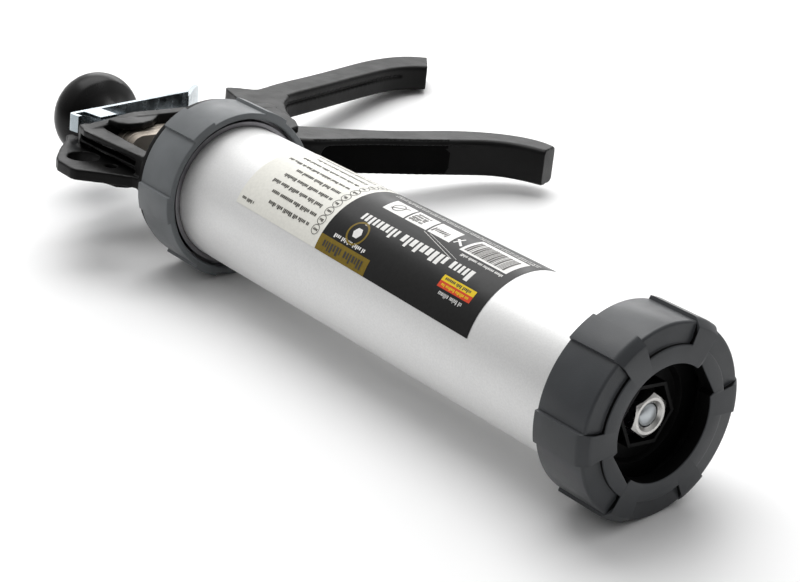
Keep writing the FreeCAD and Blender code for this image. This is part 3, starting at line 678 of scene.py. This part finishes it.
def print_white_panel(text, chance):
    """Ten lines of print, each with a ringed mark at its front end, and a short code in the corner."""
    starts = (-178, -180, -184, -182, -180, -190, -187, -184, -188, -181)
    for k, start in enumerate(starts):
        angle = 144.0 - 8.6 * k
        text.letters(chance, start, -152.8, angle, 1.15 if k < 5 else 0.9)
        text.disc(-148.9, angle + 0.6, 1.95, 1.72)
        text.letters(chance, -150.0, -147.7, angle + 0.6, 0.8)
    text.letters(chance, -192.3, -185.0, 151.0, 0.95, 0.5)


def print_black_panel(chance, text, pale, bronze, red, yellow):
    """A bronze field, a round emblem, a title, a two-colour badge, three picture boxes and a bar block."""
    bronze.bar(LABEL_SPLIT, -117.0, 144.3, LABEL_HIGH)
    text.letters(chance, -142.0, -119.5, 150.0, 2.3, 0.5)
    bronze.disc(-130.0, 131.5, 4.9, 4.1, 40)
    pale.disc(-130.0, 131.5, 2.2, 0.0, 6)
    pale.letters(chance, -139.0, -121.5, 140.6, 1.1)
    pale.letters(chance, -134.5, -73.0, 116.8, 3.2, 0.62)
    yellow.bar(-84.4, -68.0, 126.0, 130.8)
    red.bar(-84.4, -68.0, 130.8, 135.8)
    text.letters(chance, -83.0, -69.5, 128.3, 0.9)
    yellow.letters(chance, -83.0, -69.5, 133.2, 0.8)
    pale.letters(chance, -82.0, -70.0, 139.2, 1.1, 0.3)
    for k in range(3):
        left = -134.5 + 12.6 * k
        pale.bar(left, left + 11.7, 84.0, 101.5, 1.6)
    text.disc(-128.5, 93.0, 2.6, 2.2)
    text.stroke(-131.0, 97.0, -124.5, 88.5, 0.5)
    for row in range(4):
        text.letters(chance, -120.0, -113.0, 97.5 - 3.1 * row, 0.9)
    text.letters(chance, -107.5, -99.5, 95.0, 1.9, 0.4)
    pale.stroke(-95.5, 93.0, -91.0, 99.0, 0.9)
    pale.stroke(-93.5, 90.0, -95.0, 99.0, 0.7)
    pale.stroke(-108.5, 103.0, -88.0, 113.5, 0.16)
    pale.stroke(-105.5, 102.5, -86.0, 112.0, 0.12)
    pale.bar(-90.0, -66.0, 80.0, 102.5)
    x = -88.5
    while x < -68.2:
        width = chance.choice((0.3, 0.55, 0.85))
        text.bar(x, x + width, 84.0, 100.5)
        x += width + chance.choice((0.35, 0.6))
    pale.letters(chance, -87.0, -66.0, 105.6, 0.9, 0.5)
    for row in range(2):
        pale.letters(chance, -140.0, -64.0, 77.0 - 3.2 * row, 0.7, 0.5)


def make_label(m):
    chance = random.Random(7)
    white = Prints("label_white_panel", 0)
    white.bar(LABEL_REAR, LABEL_SPLIT, LABEL_LOW, LABEL_HIGH)
    black = Prints("label_black_panel", 0)
    black.bar(LABEL_SPLIT, LABEL_FRONT, LABEL_LOW, LABEL_HIGH)
    pale = Prints("label_ink_white", 1)
    bronze = Prints("label_ink_bronze", 1)
    red = Prints("label_ink_red", 1)
    yellow = Prints("label_ink_yellow", 2)
    text = Prints("label_ink_black", 3)
    print_white_panel(text, chance)
    print_black_panel(chance, text, pale, bronze, red, yellow)
    white.build(m["label_white"], ["barrel_label"])
    black.build(m["label_black"])
    pale.build(m["ink_white"])
    bronze.build(m["ink_bronze"])
    red.build(m["ink_red"])
    yellow.build(m["ink_yellow"])
    text.build(m["ink_black"])


# ---- nuts ----
NUT_FLAT = 6.5
NUT_TURN = 54.8                                      # how far both nuts are turned about the rod, degrees


def nut(node, turn, material):
    """A chamfered hexagon nut with a countersunk thread, where the part's own nut is."""
    low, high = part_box(node)
    rear, front = (low.x - FRONT_X) / MM, (high.x - FRONT_X) / MM
    face = NUT_FLAT - 0.35
    bore = 4.03

    def outline(angle):
        away = abs((angle - turn + 30) % 60 - 30)
        flat = NUT_FLAT / math.cos(math.radians(away))
        drop = (flat - face) * math.tan(math.radians(27))
        return [(front - 1.0, bore), (front - 0.08, bore + 0.95), (front, bore + 1.1), (front, face - 0.1),
                (front - 0.06, face + 0.02), (front - drop, flat), (rear + drop, flat), (rear, face),
                (rear, bore + 0.9), (rear + 0.9, bore)]

    angles = [3.0 * k for k in range(120)]
    for k in range(6):
        angles += [turn + 30 + 60 * k + side for side in (-0.6, 0.0, 0.6)]
    mesh = lathe(node + "_turned", outline, sorted({round(a % 360, 3) for a in angles}))
    mark_sharp(mesh, 24)
    return add_piece(node + "_turned", mesh, BODY_OF[node], [node], material)


# ---- the gun ----
def knob_outline():
    """A flattened ball that tapers forward to its neck, as a closed outline round the axis."""
    centre, radius, depth = -338.4, 18.8, 14.5
    outline = [(centre - depth + 0.9, 0.0)]
    for k in range(25):
        angle = math.radians(160 - 4.6 * k)
        outline.append((centre + depth * math.cos(angle), radius * math.sin(angle)))
    outline = [p for p in outline if p[0] <= centre + 7.0]
    outline += [(centre + 9.4, 13.2), (centre + 12.4, 10.3), (centre + 15.2, 8.6), (centre + 18.0, 7.7),
                (centre + 18.4, 7.3), (centre + 18.4, 4.05), (centre + 14.0, 4.05), (centre + 14.0, 0.0)]
    return outline


def rod_outline():
    """The rod with a screw thread at its front end, where the piston is clamped."""
    rear, front, radius = -336.4, -5.2, 4.0
    outline = [(rear, 0.0), (rear, radius - 0.5), (rear + 0.5, radius), (-32.0, radius)]
    x = -31.5
    while x < front - 1.6:
        outline += [(x, radius - 0.45), (x + 0.25, radius - 0.45), (x + 0.62, radius), (x + 0.88, radius)]
        x += 1.25
    return outline + [(front - 0.7, radius - 0.3), (front, radius - 1.0), (front, 0.0)]


def ferrule_outline():
    """A sleeve on the tube with a wider flange behind it, under the rear ring's lip."""
    front, step, rear = -228.4, -231.2, -233.6
    inner, outer, flange = 26.6, 28.6, 30.4
    return [(rear, inner), (rear, flange), (step, flange), (step, outer), (front, outer), (front, inner)]


def make_gun(m):
    tube = turned("barrel_tube", [(TUBE_REAR, TUBE_BORE_R), (TUBE_REAR, TUBE_R), (TUBE_FRONT, TUBE_R),
                                  (TUBE_FRONT, TUBE_BORE_R)], 0.3, m["tube"], 240)
    # the real bore is bare metal; its dark grey here is painted shade, so that the cap's opening reads black
    paint_shade_faces(tube, m["bore"], lambda place, normal: math.hypot(place.y, place.z) < TUBE_BORE_R + 0.5)
    # the piston's black plastic also serves as painted shade inside the cap
    front_cap(m["front_cap"], m["piston"])
    rear_ring(m["rear_ring"])
    turned("barrel_ferrule", ferrule_outline(), 0.35, m["ferrule"])
    knob_mesh = lathe("knob_moulded", knob_outline(), segments=96)
    mark_sharp(knob_mesh, 60)
    add_piece("knob_moulded", knob_mesh, BODY_OF["knob"], ["knob", "knob_insert"], m["knob"])
    rod_mesh = lathe("push_rod_turned", rod_outline(), segments=48)
    mark_sharp(rod_mesh, 60)
    add_piece("push_rod_turned", rod_mesh, BODY_OF["push_rod"], ["push_rod"], m["zinc_dull"])
    cast("body_casting", m["casting"])
    trigger = cast("trigger", m["trigger"])
    # painted shade in the trigger's hollow
    paint_recess_shade(trigger, m["recess_shade"])
    wire_spring("return_spring", -277.7, -254.35, 8.4, 0.7, 4, m["wire"])
    wire_spring("release_spring", -312.1, -300.15, 7.0, 0.6, 3, m["wire"])
    refined("front_thread_collar", m["collar"], 0.15)
    refined("cap_seal", m["rubber"], 0.15)
    refined("barrel_seal", m["rubber"], 0.15)
    refined("front_guide_bush", m["nylon"], 0.25)
    refined("rear_guide_bush", m["nylon"], 0.15)
    refined("spring_seat", m["zinc_dull"], 0.15)
    refined("trigger_pin", m["zinc"], 0.25)
    refined("pin_clip", m["phosphate"], 0.15)
    refined("trigger_washers", m["nylon"], 0.1)
    refined("piston", m["piston"], 0.3)
    refined("piston_seal", m["rubber"], 0.15)
    refined("piston_washer", m["zinc_dull"], 0.2)
    nut("piston_front_nut", NUT_TURN, m["nut"])
    nut("piston_rear_nut", NUT_TURN, m["nut"])
    refined("release_plate", m["zinc"], 0.35)
    for number in (1, 2, 3):
        refined("drive_plate_%d" % number, m["beige"], 0.45)


# ---- studio ----
def make_floor():
    mesh = bpy.data.meshes.new("floor")
    size = 6.0
    corners = [(-size, -size, 0), (size, -size, 0), (size, size, 0), (-size, size, 0)]
    mesh.from_pydata(corners, [], [(0, 1, 2, 3)])
    floor = bpy.data.objects.new("floor", mesh)
    bpy.context.scene.collection.objects.link(floor)
    mesh.materials.append(Paint("floor_white", (0.93, 0.93, 0.93), 0.55).material)


def area_light(name, place, target, size, power):
    data = bpy.data.lights.new(name, "AREA")
    data.shape = "RECTANGLE"
    data.size, data.size_y = size
    data.energy = power
    light = bpy.data.objects.new(name, data)
    light.location = place
    light.rotation_euler = (Vector(target) - Vector(place)).to_track_quat("-Z", "Y").to_euler()
    bpy.context.scene.collection.objects.link(light)


def make_world():
    """White studio walls: bright overhead and behind the gun, dim on the camera's side."""
    world = bpy.data.worlds.new("studio")
    world.use_nodes = True
    nodes = world.node_tree.nodes
    links = world.node_tree.links
    coords = nodes.new("ShaderNodeTexCoord")
    toward = nodes.new("ShaderNodeVectorMath")
    toward.operation = "DOT_PRODUCT"
    toward.inputs[1].default_value = Vector((-0.5, 0.45, 0.75)).normalized()
    strength = nodes.new("ShaderNodeMapRange")
    strength.inputs["From Min"].default_value = -0.3
    strength.inputs["To Min"].default_value = 0.12
    strength.inputs["To Max"].default_value = 0.95
    links.new(coords.outputs["Generated"], toward.inputs[0])
    links.new(toward.outputs["Value"], strength.inputs["Value"])
    links.new(strength.outputs["Result"], nodes["Background"].inputs["Strength"])
    nodes["Background"].inputs["Color"].default_value = (1, 1, 1, 1)
    bpy.context.scene.world = world


def make_lights():
    make_world()
    area_light("top_soft", (-0.42, 0.18, 1.12), (0, 0, 0), (1.1, 0.9), 11.0)
    area_light("back_soft", (-0.85, 0.75, 0.5), (-0.05, 0, 0), (1.0, 0.4), 4.0)
    bpy.context.scene.view_settings.view_transform = "Standard"


make_camera()
make_floor()
make_lights()
MATERIALS = make_materials()
make_gun(MATERIALS)
make_label(MATERIALS)
